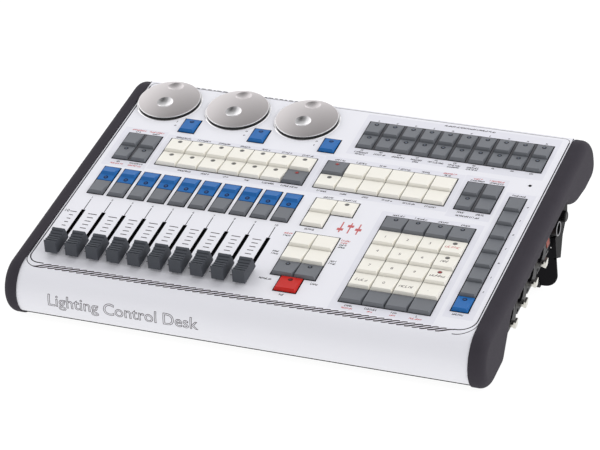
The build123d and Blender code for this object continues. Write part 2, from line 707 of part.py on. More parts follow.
# ---- assembly ----
def build():
    parts = {
        "top_panel": top_panel(),
        "bottom_tray": bottom_tray(),
        "rear_panel": rear_panel(),
        "output_sockets": output_sockets(),
        "socket_latches": socket_latches(),
        "rocker_frame": rocker_frame(),
        "power_rocker": power_rocker(),
        "power_inlet": power_inlet(),
        "data_sockets": data_sockets(),
        "key_board": key_board(),
        "key_switches": key_switches(),
        "fader_bodies": fader_bodies(),
        "encoder_bodies": encoder_bodies(),
        "main_board": main_board(),
        "power_supply": power_supply(),
        "spacers": spacers(),
        "case_screws": case_screws(),
        "tray_feet": tray_feet(),
        "leg_plate": leg_plate(),
        "leg_foot": leg_foot(),
    }
    for side in SIDES:
        parts[f"side_plate_{side}"] = side_plate(side)
        parts[f"cheek_{side}"] = cheek(side)
        parts[f"leg_arm_{side}"] = leg_arm(side)
        parts[f"leg_knob_{side}"] = leg_knob(side)
    parts.update(key_groups())
    for i, x in enumerate(STRIP_X, 1):
        parts[f"fader_cap_{i}"] = fader_cap(x)
    for i, (x, y) in enumerate(WHEEL_CENTRES, 1):
        parts[f"wheel_disc_{i}"] = wheel_disc(x, y)
        parts[f"wheel_grip_{i}"] = wheel_grip(x, y)
    return parts


def standing():
    """Place of the panel frame when the desk stands, with the origin under the middle of its outline."""
    tilted = Rot(TILT, 0, 0)
    outline = Compound(children=[tilted * prism(rounded_face(*cheek_outline()), HALF, OUTER_HALF)])
    bounds = outline.bounding_box()
    return Pos(0, -(bounds.min.Y + bounds.max.Y) / 2, -bounds.min.Z) * tilted


def main():
    os.makedirs("parts", exist_ok=True)
    place = standing()
    for name, shape in build().items():
        export_step(place * shape, f"parts/{name}.step")


if __name__ == "__main__":
    main()
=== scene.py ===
# Looks of a lighting control desk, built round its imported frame.
#
# Shapes are drawn in the panel's own millimetres: x to the right from the desk's centre line, y back along
# the panel from the keypad's rear edge, z out of the panel. PANEL carries them into the row frame, in metres.
import json
import math
import random

import bmesh
import bpy
from mathutils import Matrix, Vector


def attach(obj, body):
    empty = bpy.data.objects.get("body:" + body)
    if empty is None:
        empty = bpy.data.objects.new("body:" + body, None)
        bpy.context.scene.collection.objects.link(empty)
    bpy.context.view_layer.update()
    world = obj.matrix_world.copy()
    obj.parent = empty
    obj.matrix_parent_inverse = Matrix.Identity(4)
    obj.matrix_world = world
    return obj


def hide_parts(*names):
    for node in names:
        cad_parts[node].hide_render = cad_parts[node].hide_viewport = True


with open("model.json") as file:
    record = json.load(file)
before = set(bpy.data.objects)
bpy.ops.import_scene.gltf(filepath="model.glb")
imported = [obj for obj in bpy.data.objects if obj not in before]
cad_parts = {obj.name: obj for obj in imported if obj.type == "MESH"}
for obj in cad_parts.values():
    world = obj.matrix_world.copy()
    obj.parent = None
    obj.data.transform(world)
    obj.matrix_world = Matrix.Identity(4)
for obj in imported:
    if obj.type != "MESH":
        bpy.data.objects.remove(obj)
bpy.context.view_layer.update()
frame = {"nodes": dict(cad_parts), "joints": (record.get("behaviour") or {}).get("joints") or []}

MM = 0.001

# ---- panel layout (mm) ----
PITCH = 19.05              # square keys
NARROW_PITCH = 16.5        # key columns with a gap between them
NARROW_WIDTH = 14.23
STRIP_PITCH = 18.43
FIRST_STRIP = -173.9
STRIPS = 10
STRIP_X = [FIRST_STRIP + STRIP_PITCH * i for i in range(STRIPS)]
FADER_Y = -102.8
SLOT_TOP = -50.2
WHEEL_PITCH = 64.23
FIRST_WHEEL = (-164.8, 112.6)
WHEEL_CENTRES = [(FIRST_WHEEL[0] + WHEEL_PITCH * i, FIRST_WHEEL[1]) for i in range(3)]
NOSE_Y = -124.0            # here the panel turns into its rounded front
NOSE_RADIUS = 24.0
PANEL_HALF = 193.5
PANEL_DEPTH = 138.4        # rear edge of the panel

# name: left edge, rear edge, columns, rows, pitch
BLOCKS = {
    "page": (-180.6, 61.6, 2, 2, NARROW_PITCH),
    "menu": (-140.9, 61.8, 7, 2, PITCH),
    "select": (2.4, 62.0, 6, 2, PITCH),
    "macro": (17.9, 123.5, 10, 2, NARROW_PITCH),
    "layer": (126.3, 60.4, 2, 2, NARROW_PITCH),
    "soft": (166.3, 48.1, 1, 8, NARROW_PITCH),
    "numeric": (76.5, 0.0, 4, 6, PITCH),
    "step": (11.1, 10.3, 2, 2, PITCH),
    "edit": (11.1, -37.2, 2, 3, PITCH),
    "release": (20.6, -94.4, 1, 1, PITCH),
}
for number in range(3):
    BLOCKS[f"wheel_{number}"] = (-140.1 + WHEEL_PITCH * number, 91.7, 1, 1, NARROW_PITCH)
for number, strip_x in enumerate(STRIP_X):
    BLOCKS[f"playback_{number}"] = (strip_x - NARROW_WIDTH / 2, 10.8, 1, 2, NARROW_PITCH)

# ---- key shape (mm) ----
KEY_GAP = 0.5
KEY_HEIGHT = 3.1
KEY_REAR = 0.6             # height of a key's top at its rear edge
KEY_LEAN = 1.35            # how far the sides slope in
KEY_SHOULDER = 0.2         # height where the slope begins
SKIRT = 3.8
CAP_FOOT = -0.3            # coloured cap above; base below, painted black as the shade in the gaps between keys
BASE_INSET = 0.1
KEY_FRONT = -PITCH + KEY_GAP / 2
WEDGE = [(-KEY_GAP / 2, KEY_REAR), (KEY_FRONT + 1.2, KEY_HEIGHT - 0.05), (KEY_FRONT, 0.3)]
STEPPED = [(-KEY_GAP / 2, KEY_REAR), (-9.6, KEY_HEIGHT - 0.05), (-11.6, 0.95), (KEY_FRONT, 0.65)]

INK_BELOW = -0.02          # prints start this much inside the skin
BEVEL_FROM = math.radians(24)

# ---- panel frame, from the joints ----
JOINTS = {joint["name"]: joint for joint in frame["joints"]}
RIGHT = Vector((1, 0, 0))
BACK = Vector(JOINTS["fader_slide_1"]["axis"])
UP = Vector(JOINTS["wheel_spin_1"]["axis"])
ORIGIN = Vector(JOINTS["wheel_spin_1"]["pos_m"]) - (RIGHT * FIRST_WHEEL[0] + BACK * FIRST_WHEEL[1]) * MM
PANEL = Matrix.Translation(ORIGIN) @ Matrix((RIGHT, BACK, UP)).transposed().to_4x4() @ Matrix.Scale(MM, 4)


def turns(count):
    """Angles that divide a full turn into count parts."""
    return [2 * math.pi * i / count for i in range(count)]


def wrapped(x, y, lift=0.0):
    """Point on the panel's skin; in front of NOSE_Y, y runs on round the nose."""
    if y >= NOSE_Y:
        return (x, y, lift)
    turn = (NOSE_Y - y) / NOSE_RADIUS
    radius = NOSE_RADIUS + lift
    return (x, NOSE_Y - radius * math.sin(turn), radius * math.cos(turn) - NOSE_RADIUS)


class Shape:
    """Collects points and faces in panel millimetres and makes one object of them."""

    def __init__(self):
        self.points, self.faces, self.slots = [], [], []

    def add(self, points, faces, slot=0):
        base = len(self.points)
        self.points += points
        self.faces += [[base + i for i in face] for face in faces]
        self.slots += [slot] * len(faces)

    def loft(self, rings, slot=0, loop=False):
        """Skin over rings of equally many points; loop joins the last ring to the first."""
        count = len(rings[0])
        faces = []
        spans = len(rings) if loop else len(rings) - 1
        for i in range(spans):
            here, there = i * count, (i + 1) % len(rings) * count
            for k in range(count):
                after = (k + 1) % count
                faces.append([here + k, here + after, there + after, there + k])
        if not loop:
            faces.append(list(range(count))[::-1])
            faces.append([(len(rings) - 1) * count + k for k in range(count)])
        self.add([point for ring in rings for point in ring], faces, slot)

    def box(self, low, high, slot=0):
        (x0, y0, z0), (x1, y1, z1) = low, high
        ring = [(x0, y0), (x1, y0), (x1, y1), (x0, y1)]
        self.loft([[(x, y, z) for x, y in ring] for z in (z0, z1)], slot)

    def ink(self, outline, thickness):
        """Flat patch printed on the panel."""
        self.loft([[wrapped(x, y, z) for x, y in outline] for z in (INK_BELOW, thickness)])

    def ribbon(self, path, widths, slot=0, thickness=0.05, skin=wrapped):
        """Line printed along an open path, with its width at each point; skin lifts (x, y) off a surface."""
        rings = []
        for i, ((x, y), width) in enumerate(zip(path, widths)):
            before, after = Vector(path[max(i - 1, 0)]), Vector(path[min(i + 1, len(path) - 1)])
            along = (after - before).normalized()
            nx, ny = -along.y * width / 2, along.x * width / 2
            rings.append([skin(x - nx, y - ny, INK_BELOW), skin(x + nx, y + ny, INK_BELOW),
                          skin(x + nx, y + ny, thickness), skin(x - nx, y - ny, thickness)])
        self.loft(rings, slot)

    def stroke(self, start, end, width, slot=0, thickness=0.05, skin=wrapped):
        self.ribbon([start, end], [width, width], slot, thickness, skin)

    def rim(self, path, section):
        """Closed frame along a path of square corners; section holds (distance outwards, z)."""
        rings = []
        for i, here in enumerate(path):
            before = (Vector(here) - Vector(path[i - 1])).normalized()
            after = (Vector(path[(i + 1) % len(path)]) - Vector(here)).normalized()
            out = Vector((before.y + after.y, -before.x - after.x))
            rings.append([(here[0] + out.x * away, here[1] + out.y * away, z) for away, z in section])
        self.loft(rings, loop=True)

    def lathe(self, profile, centre, steps=96, slot=0, tilt=None):
        """Closed ring of revolution about z through centre; profile is a closed outline of (radius, z)."""
        tilt = tilt or Matrix.Identity(3)
        rings = []
        for turn in turns(steps):
            ring = [Vector((r * math.cos(turn), r * math.sin(turn), z)) for r, z in profile]
            rings.append([tuple(Vector(centre) + tilt @ point) for point in ring])
        self.loft(rings, slot, loop=True)

    def make(self, name, body, materials, bevel=0.0, smooth=0.0, slot=None):
        """The object, riding on a body; bevel is in mm, smooth is the angle above which edges stay sharp."""
        mesh = bpy.data.meshes.new(name)
        mesh.from_pydata([PANEL @ Vector(point) for point in self.points], [], self.faces)
        for material in materials:
            mesh.materials.append(material)
        for polygon, index in zip(mesh.polygons, self.slots):
            polygon.material_index = index
        mesh.validate()
        made = bpy.data.objects.new(name, mesh)
        bpy.context.scene.collection.objects.link(made)
        consistent_normals(mesh)
        if smooth:
            mesh.shade_smooth()
            mesh.set_sharp_from_angle(angle=math.radians(smooth))
        if bevel:
            rounding = made.modifiers.new("rounding", "BEVEL")
            rounding.width = bevel * MM
            rounding.segments = 2
            rounding.limit_method = "ANGLE"
            rounding.angle_limit = BEVEL_FROM
            rounding.harden_normals = True
            mesh.shade_smooth()
        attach(made, body)
        return made


def consistent_normals(mesh):
    work = bmesh.new()
    work.from_mesh(mesh)
    bmesh.ops.recalc_face_normals(work, faces=work.faces)
    work.to_mesh(mesh)
    work.free()


# ---- materials ----
def srgb(red, green, blue):
    """Linear colour of 0-255 screen values."""
    channels = [channel / 255 for channel in (red, green, blue)]
    linear = [c / 12.92 if c <= 0.04045 else ((c + 0.055) / 1.055) ** 2.4 for c in channels]
    return (*linear, 1.0)


def surface(name, colour, roughness, spread=0.06, mottle=30.0, bump=0.02, grain=1500.0, metallic=0.0,
            coat=0.0, rough_spread=0.06, specular=0.5):
    """Base of every material: mottled colour and roughness, and a fine grain in its normals."""
    material = bpy.data.materials.new(name)
    material.use_nodes = True
    tree = material.node_tree
    shader = tree.nodes["Principled BSDF"]
    shader.inputs["Metallic"].default_value = metallic
    shader.inputs["Coat Weight"].default_value = coat
    shader.inputs["Specular IOR Level"].default_value = specular
    place = tree.nodes.new("ShaderNodeTexCoord")

    clouds = tree.nodes.new("ShaderNodeTexNoise")
    clouds.inputs["Scale"].default_value = mottle
    clouds.inputs["Detail"].default_value = 4.0
    tree.links.new(place.outputs["Object"], clouds.inputs["Vector"])
    tint = tree.nodes.new("ShaderNodeMix")
    tint.data_type = "RGBA"
    dark, light = 1 - spread, 1 + spread
    tint.inputs["A"].default_value = (*[c * dark for c in colour[:3]], 1)
    tint.inputs["B"].default_value = (*[min(c * light, 1) for c in colour[:3]], 1)
    tree.links.new(clouds.outputs["Fac"], tint.inputs["Factor"])
    tree.links.new(tint.outputs["Result"], shader.inputs["Base Color"])

    speckle = tree.nodes.new("ShaderNodeTexNoise")
    speckle.inputs["Scale"].default_value = grain
    speckle.inputs["Detail"].default_value = 2.0
    tree.links.new(place.outputs["Object"], speckle.inputs["Vector"])
    gloss = tree.nodes.new("ShaderNodeMapRange")
    gloss.inputs["To Min"].default_value = max(roughness - rough_spread, 0.02)
    gloss.inputs["To Max"].default_value = min(roughness + rough_spread, 1.0)
    tree.links.new(speckle.outputs["Fac"], gloss.inputs["Value"])
    tree.links.new(gloss.outputs["Result"], shader.inputs["Roughness"])
    if bump:
        relief = tree.nodes.new("ShaderNodeBump")
        relief.inputs["Strength"].default_value = 1.0
        relief.inputs["Distance"].default_value = bump * MM
        tree.links.new(speckle.outputs["Fac"], relief.inputs["Height"])
        tree.links.new(relief.outputs["Normal"], shader.inputs["Normal"])
    return material


def glowing(material, colour, strength):
    """The same material, giving off light."""
    shader = material.node_tree.nodes["Principled BSDF"]
    shader.inputs["Emission Color"].default_value = colour
    shader.inputs["Emission Strength"].default_value = strength
    return material


PAINT = surface("panel_paint", srgb(228, 228, 233), 0.42, spread=0.012, bump=0.012, grain=2500)
ZONE = surface("zone_ink", srgb(220, 220, 227), 0.42, spread=0.012, bump=0.012, grain=2500)
INK_BLACK = surface("ink_black", srgb(20, 18, 22), 0.6, spread=0.2, mottle=400, bump=0, specular=0.1)
INK_GREY = surface("ink_grey", srgb(62, 53, 56), 0.6, spread=0.15, mottle=400, bump=0, specular=0.1)
INK_RED = surface("ink_red", srgb(190, 92, 92), 0.5, spread=0.15, mottle=400, bump=0)
CASE = surface("case_paint", srgb(22, 22, 24), 0.45, spread=0.12, bump=0.03, grain=1200, specular=0.1)
LEG = surface("leg_paint", srgb(16, 15, 18), 0.5, spread=0.12, bump=0.03, grain=1200, specular=0.06)
CHEEK = surface("cheek_moulding", srgb(55, 52, 58), 0.8, spread=0.1, mottle=90, bump=0.06, grain=900,
                rough_spread=0.1, specular=0.15)
WHITE_KEY = surface("white_key", srgb(233, 230, 220), 0.45, spread=0.015, bump=0.01, grain=1800)
DARK_KEY = surface("dark_key", srgb(101, 104, 109), 0.45, spread=0.04, bump=0.012, grain=1800)
BLUE_KEY = surface("blue_key", srgb(22, 98, 166), 0.42, spread=0.04, bump=0.01, grain=1800, specular=0.3)
RED_KEY = surface("red_key", srgb(190, 28, 20), 0.42, spread=0.04, bump=0.01, grain=1800, specular=0.25)
CAP = surface("fader_cap", srgb(64, 67, 73), 0.62, spread=0.06, bump=0.02, grain=1200, specular=0.35)
SATIN = surface("wheel_satin", srgb(212, 207, 206), 0.36, spread=0.02, bump=0.012, grain=2200, metallic=1.0)
POLISHED = surface("polished_metal", srgb(232, 231, 231), 0.13, spread=0.02, bump=0.0, metallic=1.0,
                   rough_spread=0.03)
PLATED = surface("plated_metal", srgb(216, 214, 206), 0.3, spread=0.05, bump=0.01, metallic=1.0)
RIBBED = surface("ribbed_rubber", srgb(24, 24, 26), 0.5, spread=0.1, bump=0.02)
RUBBER = surface("foot_rubber", srgb(28, 28, 30), 0.8, spread=0.1, bump=0.04, grain=900)
BLACK_PLASTIC = surface("black_plastic", srgb(18, 18, 20), 0.4, spread=0.1, bump=0.015, specular=0.3)
SOCKET = surface("socket_casting", srgb(20, 19, 22), 0.35, spread=0.6, mottle=260, bump=0.04, grain=700,
                 specular=0.15)
ORANGE = surface("rocker_orange", srgb(128, 46, 28), 0.4, spread=0.1, bump=0.01, specular=0.3)
# black of the seal strips and the small window; also painted shade on key bases, opening walls and under the
# front
BLACK_AND_SHADE = surface("black_and_shade", srgb(10, 10, 12), 0.7, spread=0.1, bump=0, specular=0.05)
BAR_GREY = surface("bar_grey", srgb(76, 76, 80), 0.55, spread=0.06, bump=0.01)
BOARD = surface("board_green", srgb(28, 92, 58), 0.35, spread=0.15, mottle=200, bump=0.03, grain=500)
ZINC = surface("zinc_steel", srgb(150, 150, 152), 0.38, spread=0.08, bump=0.02, metallic=1.0)
INK_SIDE = surface("side_ink", srgb(170, 168, 166), 0.5, bump=0)

# rims and lenses of the lamps
RIM_SMOKE = surface("rim_smoke", srgb(84, 82, 78), 0.3, spread=0.1, bump=0)
LENS_SMOKE = surface("lens_smoke", srgb(104, 103, 100), 0.2, spread=0.1, bump=0, coat=0.6)
RIM_GREY = surface("rim_grey", srgb(18, 19, 23), 0.55, spread=0.1, bump=0, specular=0.15)
LENS_GREY = surface("lens_grey", srgb(96, 102, 114), 0.2, spread=0.1, bump=0)
RIM_RED = surface("rim_red", srgb(92, 40, 44), 0.3, spread=0.1, bump=0)
LENS_RED = surface("lens_red", srgb(168, 44, 46), 0.2, spread=0.1, bump=0, coat=0.6)
RIM_BLUE = surface("rim_blue", srgb(10, 24, 54), 0.55, spread=0.1, bump=0, specular=0.15)
LENS_BLUE = surface("lens_blue", srgb(48, 82, 136), 0.2, spread=0.1, bump=0)
RIM_DEEP_RED = surface("rim_deep_red", srgb(66, 12, 12), 0.55, spread=0.1, bump=0, specular=0.15)
LENS_DEEP_RED = surface("lens_deep_red", srgb(110, 34, 30), 0.2, spread=0.1, bump=0)

NODE_MATERIALS = {
    "top_panel": PAINT, "bottom_tray": CASE, "rear_panel": CASE,
    "side_plate_left": CASE, "side_plate_right": CASE, "cheek_left": CHEEK, "cheek_right": CHEEK,
    "output_sockets": SOCKET, "socket_latches": PLATED, "data_sockets": PLATED,
    "rocker_frame": BLACK_PLASTIC, "power_rocker": ORANGE, "power_inlet": BLACK_PLASTIC,
    "key_board": BOARD, "key_switches": BLACK_PLASTIC, "fader_bodies": BLACK_PLASTIC,
    "encoder_bodies": ZINC, "main_board": BOARD, "power_supply": ZINC, "spacers": ZINC,
    "case_screws": ZINC, "tray_feet": RUBBER,
    "leg_plate": LEG, "leg_foot": RUBBER, "leg_arm_left": LEG, "leg_arm_right": LEG,
    "leg_knob_left": BLACK_PLASTIC, "leg_knob_right": BLACK_PLASTIC,
}


def dress(node, material):
    """Give a CAD node its material."""
    held = frame["nodes"][node]
    held.data.materials.clear()
    held.data.materials.append(material)


# ---- keys ----
def cells(columns, rows):
    """(column, row) of the keys wanted in a block."""
    return [(column, row) for row in rows for column in columns]


def key_place(block, cell):
    """Centre x and rear edge y of a key, and its width."""
    x, y, _, _, pitch = BLOCKS[block]
    width = PITCH if pitch == PITCH else NARROW_WIDTH
    return x + pitch * cell[0] + width / 2, y - PITCH * cell[1], width


def key_rings(x, y, width, stations):
    """Sections across a key; stations is its side view, (distance along, height)."""
    half = width / 2 - KEY_GAP / 2
    rings = []
    for along, top in stations:
        side = half - KEY_LEAN * (top - KEY_SHOULDER) / KEY_HEIGHT
        across = [(half, CAP_FOOT), (half, KEY_SHOULDER), (side, top)]
        across = [(-dx, z) for dx, z in across] + across[::-1]
        rings.append([(x + dx, y + along, z) for dx, z in across])
    return rings


WHITE_MENU = [cell for cell in cells(range(7), (0, 1)) if cell != (6, 1)]
WHITE_SELECT = [cell for cell in cells(range(6), (0, 1)) if cell != (0, 0)]
# node: body, material, slot, side view, [(block, cells)]
KEY_GROUPS = {
    "playback_keys_upper": ("playback_keys_upper", BLUE_KEY, "key_blue", STEPPED,
                            [(f"playback_{i}", [(0, 0)]) for i in range(STRIPS)]),
    "playback_keys_lower": ("playback_keys_lower", DARK_KEY, "key_grey", WEDGE,
                            [(f"playback_{i}", [(0, 1)]) for i in range(STRIPS)]),
    "wheel_keys": ("wheel_keys", BLUE_KEY, "key_blue", WEDGE, [(f"wheel_{i}", [(0, 0)]) for i in range(3)]),
    "page_keys": ("page_keys", DARK_KEY, "key_grey", WEDGE, [("page", cells(range(2), range(2)))]),
    "menu_keys": ("menu_keys", WHITE_KEY, "key_white", WEDGE, [("menu", WHITE_MENU)]),
    "select_keys": ("select_keys", WHITE_KEY, "key_white", WEDGE, [("select", WHITE_SELECT)]),
    "shift_keys": ("shift_keys", DARK_KEY, "key_grey", WEDGE, [("menu", [(6, 1)]), ("select", [(0, 0)])]),
    "macro_keys": ("macro_keys", DARK_KEY, "key_grey", WEDGE, [("macro", cells(range(10), range(2)))]),
    "layer_keys": ("layer_keys", DARK_KEY, "key_grey", WEDGE, [("layer", cells(range(2), range(2)))]),
    "soft_keys": ("soft_keys", DARK_KEY, "key_grey", WEDGE, [("soft", cells([0], range(7)))]),
    "soft_select_key": ("soft_keys", BLUE_KEY, "key_blue", WEDGE, [("soft", [(0, 7)])]),
    "numeric_keys": ("numeric_keys", WHITE_KEY, "key_white", WEDGE,
                     [("numeric", cells(range(4), range(1, 5)))]),
    "numeric_function_keys": ("numeric_keys", DARK_KEY, "key_grey", WEDGE,
                              [("numeric", cells(range(4), (0, 5)))]),
    "edit_keys": ("edit_keys", WHITE_KEY, "key_white", WEDGE,
                  [("step", [(0, 0), (1, 0), (0, 1)]), ("edit", cells(range(2), range(2)))]),
    "edit_function_keys": ("edit_keys", DARK_KEY, "key_grey", WEDGE, [("edit", cells(range(2), [2]))]),
    "release_key": ("release_key", RED_KEY, "key_red", WEDGE, [("release", [(0, 0)])]),
}


def make_keys():
    """Coloured caps on bases painted black as the shade in the gaps between keys, in place of the CAD keys.
    """
    for node, (body, material, slot, stations, picks) in KEY_GROUPS.items():
        shape = Shape()
        for block, wanted in picks:
            for cell in wanted:
                x, y, width = key_place(block, cell)
                shape.loft(key_rings(x, y, width, stations))
                # the key's base below CAP_FOOT, painted black as the shade in the gaps round the key
                half = width / 2 - KEY_GAP / 2 - BASE_INSET
                low = (x - half, y + KEY_FRONT + BASE_INSET, -SKIRT)
                shape.box(low, (x + half, y - KEY_GAP / 2 - BASE_INSET, CAP_FOOT + 0.02), 1)
        name = node.replace("keys", "caps").replace("key", "cap")
        keys = shape.make(name, body, [material, BLACK_AND_SHADE], bevel=0.32, slot=slot)
        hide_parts(node)


# ---- lamps on the keys ----
LAMP_RADIUS = 2.0
LAMP_BACK = 4.5            # from a key's rear edge
LEDGE_BACK = 15.1          # the same on a stepped key
LEDGE_HEIGHT = 0.8
LEDGE_SLOPE = -math.radians(2.5)
LAMP_FOOT = -0.3           # rim and lens start this much inside the key
LENS_RADIUS = LAMP_RADIUS * 0.56
WEDGE_SLOPE = (KEY_HEIGHT - 0.05 - KEY_REAR) / (PITCH - KEY_GAP - 1.2)
# material indices of rim and lens: on white keys, on dark keys, red lamps, on blue keys, on the red key
ON_WHITE, ON_DARK, RED_LAMP, ON_BLUE, ON_RED = (0, 1), (2, 3), (4, 5), (6, 7), (8, 9)
LAMP_MATERIALS = [RIM_SMOKE, LENS_SMOKE, RIM_GREY, LENS_GREY, RIM_RED, LENS_RED, RIM_BLUE, LENS_BLUE,
                  RIM_DEEP_RED, LENS_DEEP_RED]
# body: [(block, cells, kind)]
LAMPS = {
    "playback_keys_upper": [(f"playback_{i}", [(0, 0)], ON_BLUE) for i in range(STRIPS)],
    "wheel_keys": [(f"wheel_{i}", [(0, 0)], ON_BLUE) for i in range(3)],
    "page_keys": [("page", cells(range(2), [1]), ON_DARK)],
    "menu_keys": [("menu", WHITE_MENU, ON_WHITE)],
    "select_keys": [("select", [(0, 1)], ON_WHITE)],
    "shift_keys": [("menu", [(6, 1)], RED_LAMP), ("select", [(0, 0)], RED_LAMP)],
    "macro_keys": [("macro", cells(range(10), range(2)), ON_DARK)],
    "layer_keys": [("layer", [(0, 1)], ON_DARK)],
    "soft_keys": [("soft", [(0, 7)], ON_BLUE)],
    "numeric_keys": [("numeric", cells(range(4), [0]), ON_DARK), ("numeric", [(3, 1), (3, 2)], ON_WHITE),
                     ("numeric", [(3, 3)], RED_LAMP)],
    "edit_keys": [("step", [(1, 0)], ON_WHITE), ("edit", cells(range(2), [2]), ON_DARK)],
    "release_key": [("release", [(0, 0)], ON_RED)],
}


def lamp(shape, x, y, z, slope, kind):
    """Rim and domed lens, lying on a key's sloping top."""
    rim, lens = kind
    tilt = Matrix.Rotation(-slope, 3, "X")
    section = [(LENS_RADIUS, LAMP_FOOT), (LAMP_RADIUS, LAMP_FOOT), (LAMP_RADIUS, 0.06),
               (LAMP_RADIUS - 0.15, 0.12), (LENS_RADIUS, 0.12)]
    shape.lathe(section, (x, y, z), steps=24, slot=rim, tilt=tilt)
    domed = [(LENS_RADIUS, LAMP_FOOT), (LENS_RADIUS, 0.1), (LENS_RADIUS * 0.8, 0.3),
             (LENS_RADIUS * 0.45, 0.42), (0.05, 0.46)]
    rings = []
    for radius, height in domed:
        ring = [Vector((radius * math.cos(a), radius * math.sin(a), height)) for a in turns(16)]
        rings.append([tuple(Vector((x, y, z)) + tilt @ point) for point in ring])
    shape.loft(rings, lens)


def make_lamps():
    """The lamps of each body's keys, as one piece per body."""
    for body, picks in LAMPS.items():
        shape = Shape()
        for block, wanted, kind in picks:
            for cell in wanted:
                x, y, _ = key_place(block, cell)
                if body == "playback_keys_upper":
                    lamp(shape, x, y - LEDGE_BACK, LEDGE_HEIGHT, LEDGE_SLOPE, kind)
                else:
                    z = KEY_REAR + WEDGE_SLOPE * (LAMP_BACK - KEY_GAP / 2)
                    lamp(shape, x, y - LAMP_BACK, z, math.atan(WEDGE_SLOPE), kind)
        shape.make(f"lamps_{body}", body, LAMP_MATERIALS, smooth=40)


# ---- faders ----
CAP_LENGTH = 22.8
CAP_HALF = 5.45
CAP_LOW, CAP_HIGH = 2.6, 14.8
CAP_LIP = 2.2              # plain strip of the top before the first rib
CAP_SAG = 2.0
CAP_RIBS = 5
# along one rib's share of the top: where it is, and how deep the groove is there
RIB_SHAPE = ((0.02, 0.8), (0.3, 0.8), (0.38, 0.05), (0.98, 0.0))
CAP_TAPER = 0.25           # how far each side slopes in towards the top
STEM_HALF = (0.6, 2.6)     # of the lever through the slot, across and along
STEM_FOOT = -10.8


def cap_profile():
    """Side outline of a fader cap, from its lower front corner over the ribbed top."""
    front, rear = -CAP_LENGTH / 2, CAP_LENGTH / 2
    top_front, top_rear = front + 0.6, rear - 4.6
    span = top_rear - top_front
    outline = [(front, CAP_LOW), (top_front, CAP_HIGH)]
    for rib in range(CAP_RIBS):
        for part, groove in RIB_SHAPE:
            along = (CAP_LIP + (span - CAP_LIP) * (rib + part) / CAP_RIBS) / span
            dip = CAP_SAG * 4 * along * (1 - along)
            outline.append((top_front + span * along, CAP_HIGH - dip - groove))
    outline += [(top_rear, CAP_HIGH), (top_rear + 1.4, CAP_HIGH - 1.0)]
    outline += [(rear, CAP_LOW + 1.4), (rear, CAP_LOW)]
    return outline


def make_fader_caps():
    """Ribbed caps with their levers, in place of the CAD caps."""
    outline = cap_profile()
    for number, x in enumerate(STRIP_X, 1):
        shape = Shape()
        rings = []
        for side in (-1, 1):
            ring = []
            for y, z in outline:
                half = CAP_HALF - CAP_TAPER * (z - CAP_LOW) / (CAP_HIGH - CAP_LOW)
                ring.append((x + side * half, FADER_Y + y, z))
            rings.append(ring)
        shape.loft(rings)
        across, along = STEM_HALF
        shape.box((x - across, FADER_Y - along, STEM_FOOT), (x + across, FADER_Y + along, CAP_LOW + 0.5))
        cap = shape.make(f"fader_knob_{number}", f"fader_{number}", [CAP], bevel=0.2, slot="cap_grey")
        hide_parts(f"fader_cap_{number}")


# ---- jog wheels ----
DISC_RADIUS = 27.4
DOME_EDGE, DOME_HEIGHT = 26.8, 2.85
WHEEL_RIM = 2.9            # height of the disc's edge
GRIP_INNER, GRIP_OUTER = 21.7, 27.3
GRIP_LOW, GRIP_HIGH = 0.5, 2.2
RIBS = 120
RIB_DEPTH = 0.45
DIMPLES = ((-0.3, -8.1), (-1.0, 17.6))
DIMPLE_RADIUS, DIMPLE_DEPTH = 7.6, 2.0
BOWL_RADIUS = 7.0          # polished lining of a dimple
BOWL_STEPS = 12
BOWL_SHEETS = (0.03, 0.10)     # heights of its lower and upper face above the dimple
# sections of the rings, (radius, z)
BASE_SECTION = [(25.2, 0.0), (28.9, 0.0), (28.6, 0.3), (27.9, 0.42), (25.2, 0.42)]
RIM_SECTION = [(26.6, 2.25), (27.3, 2.25), (27.36, 2.5), (27.2, 2.76), (26.95, 2.85), (26.6, 2.85)]


def dome(radius):
    """Height of the disc's top at a radius."""
    ball = (DOME_EDGE ** 2 + DOME_HEIGHT ** 2) / (2 * DOME_HEIGHT)
    return WHEEL_RIM + DOME_HEIGHT - ball + math.sqrt(ball ** 2 - radius ** 2)


def dimple(shape, x, y, dx, dy):
    """Polished bowl lying just above the disc's own dimple."""
    ball = (DIMPLE_RADIUS ** 2 + DIMPLE_DEPTH ** 2) / (2 * DIMPLE_DEPTH)
    radius = math.hypot(dx, dy)
    slope = 2 * DOME_HEIGHT * radius / DISC_RADIUS ** 2
    outward = Vector((dx, dy, 0)) / radius
    normal = (outward * slope + Vector((0, 0, 1))).normalized()
    tilt = Vector((0, 0, 1)).rotation_difference(normal).to_matrix()
    seat = Vector((x + dx, y + dy, dome(radius)))
    low, high = BOWL_SHEETS
    stations = [(i, low) for i in range(BOWL_STEPS + 1)] + [(i, high) for i in range(BOWL_STEPS, -1, -1)]
    rings = []
    for i, lift in stations:
        r = max(BOWL_RADIUS * i / BOWL_STEPS, 0.02)
        z = ball - DIMPLE_DEPTH - math.sqrt(ball ** 2 - r ** 2) + lift
        rings.append([tuple(seat + tilt @ Vector((r * math.cos(a), r * math.sin(a), z))) for a in turns(48)])
    shape.loft(rings)


def grip_rings(x, y):
    """Sections of the rubber ring under a disc, each in or between two ribs."""
    rings = []
    for i, turn in enumerate(turns(2 * RIBS)):
        outer = GRIP_OUTER if i % 2 else GRIP_OUTER - RIB_DEPTH
        section = [(GRIP_INNER, GRIP_LOW), (outer - 0.3, GRIP_LOW), (outer, GRIP_LOW + 0.3),
                   (outer, GRIP_HIGH), (GRIP_INNER, GRIP_HIGH)]
        rings.append([(x + r * math.cos(turn), y + r * math.sin(turn), z) for r, z in section])
    return rings


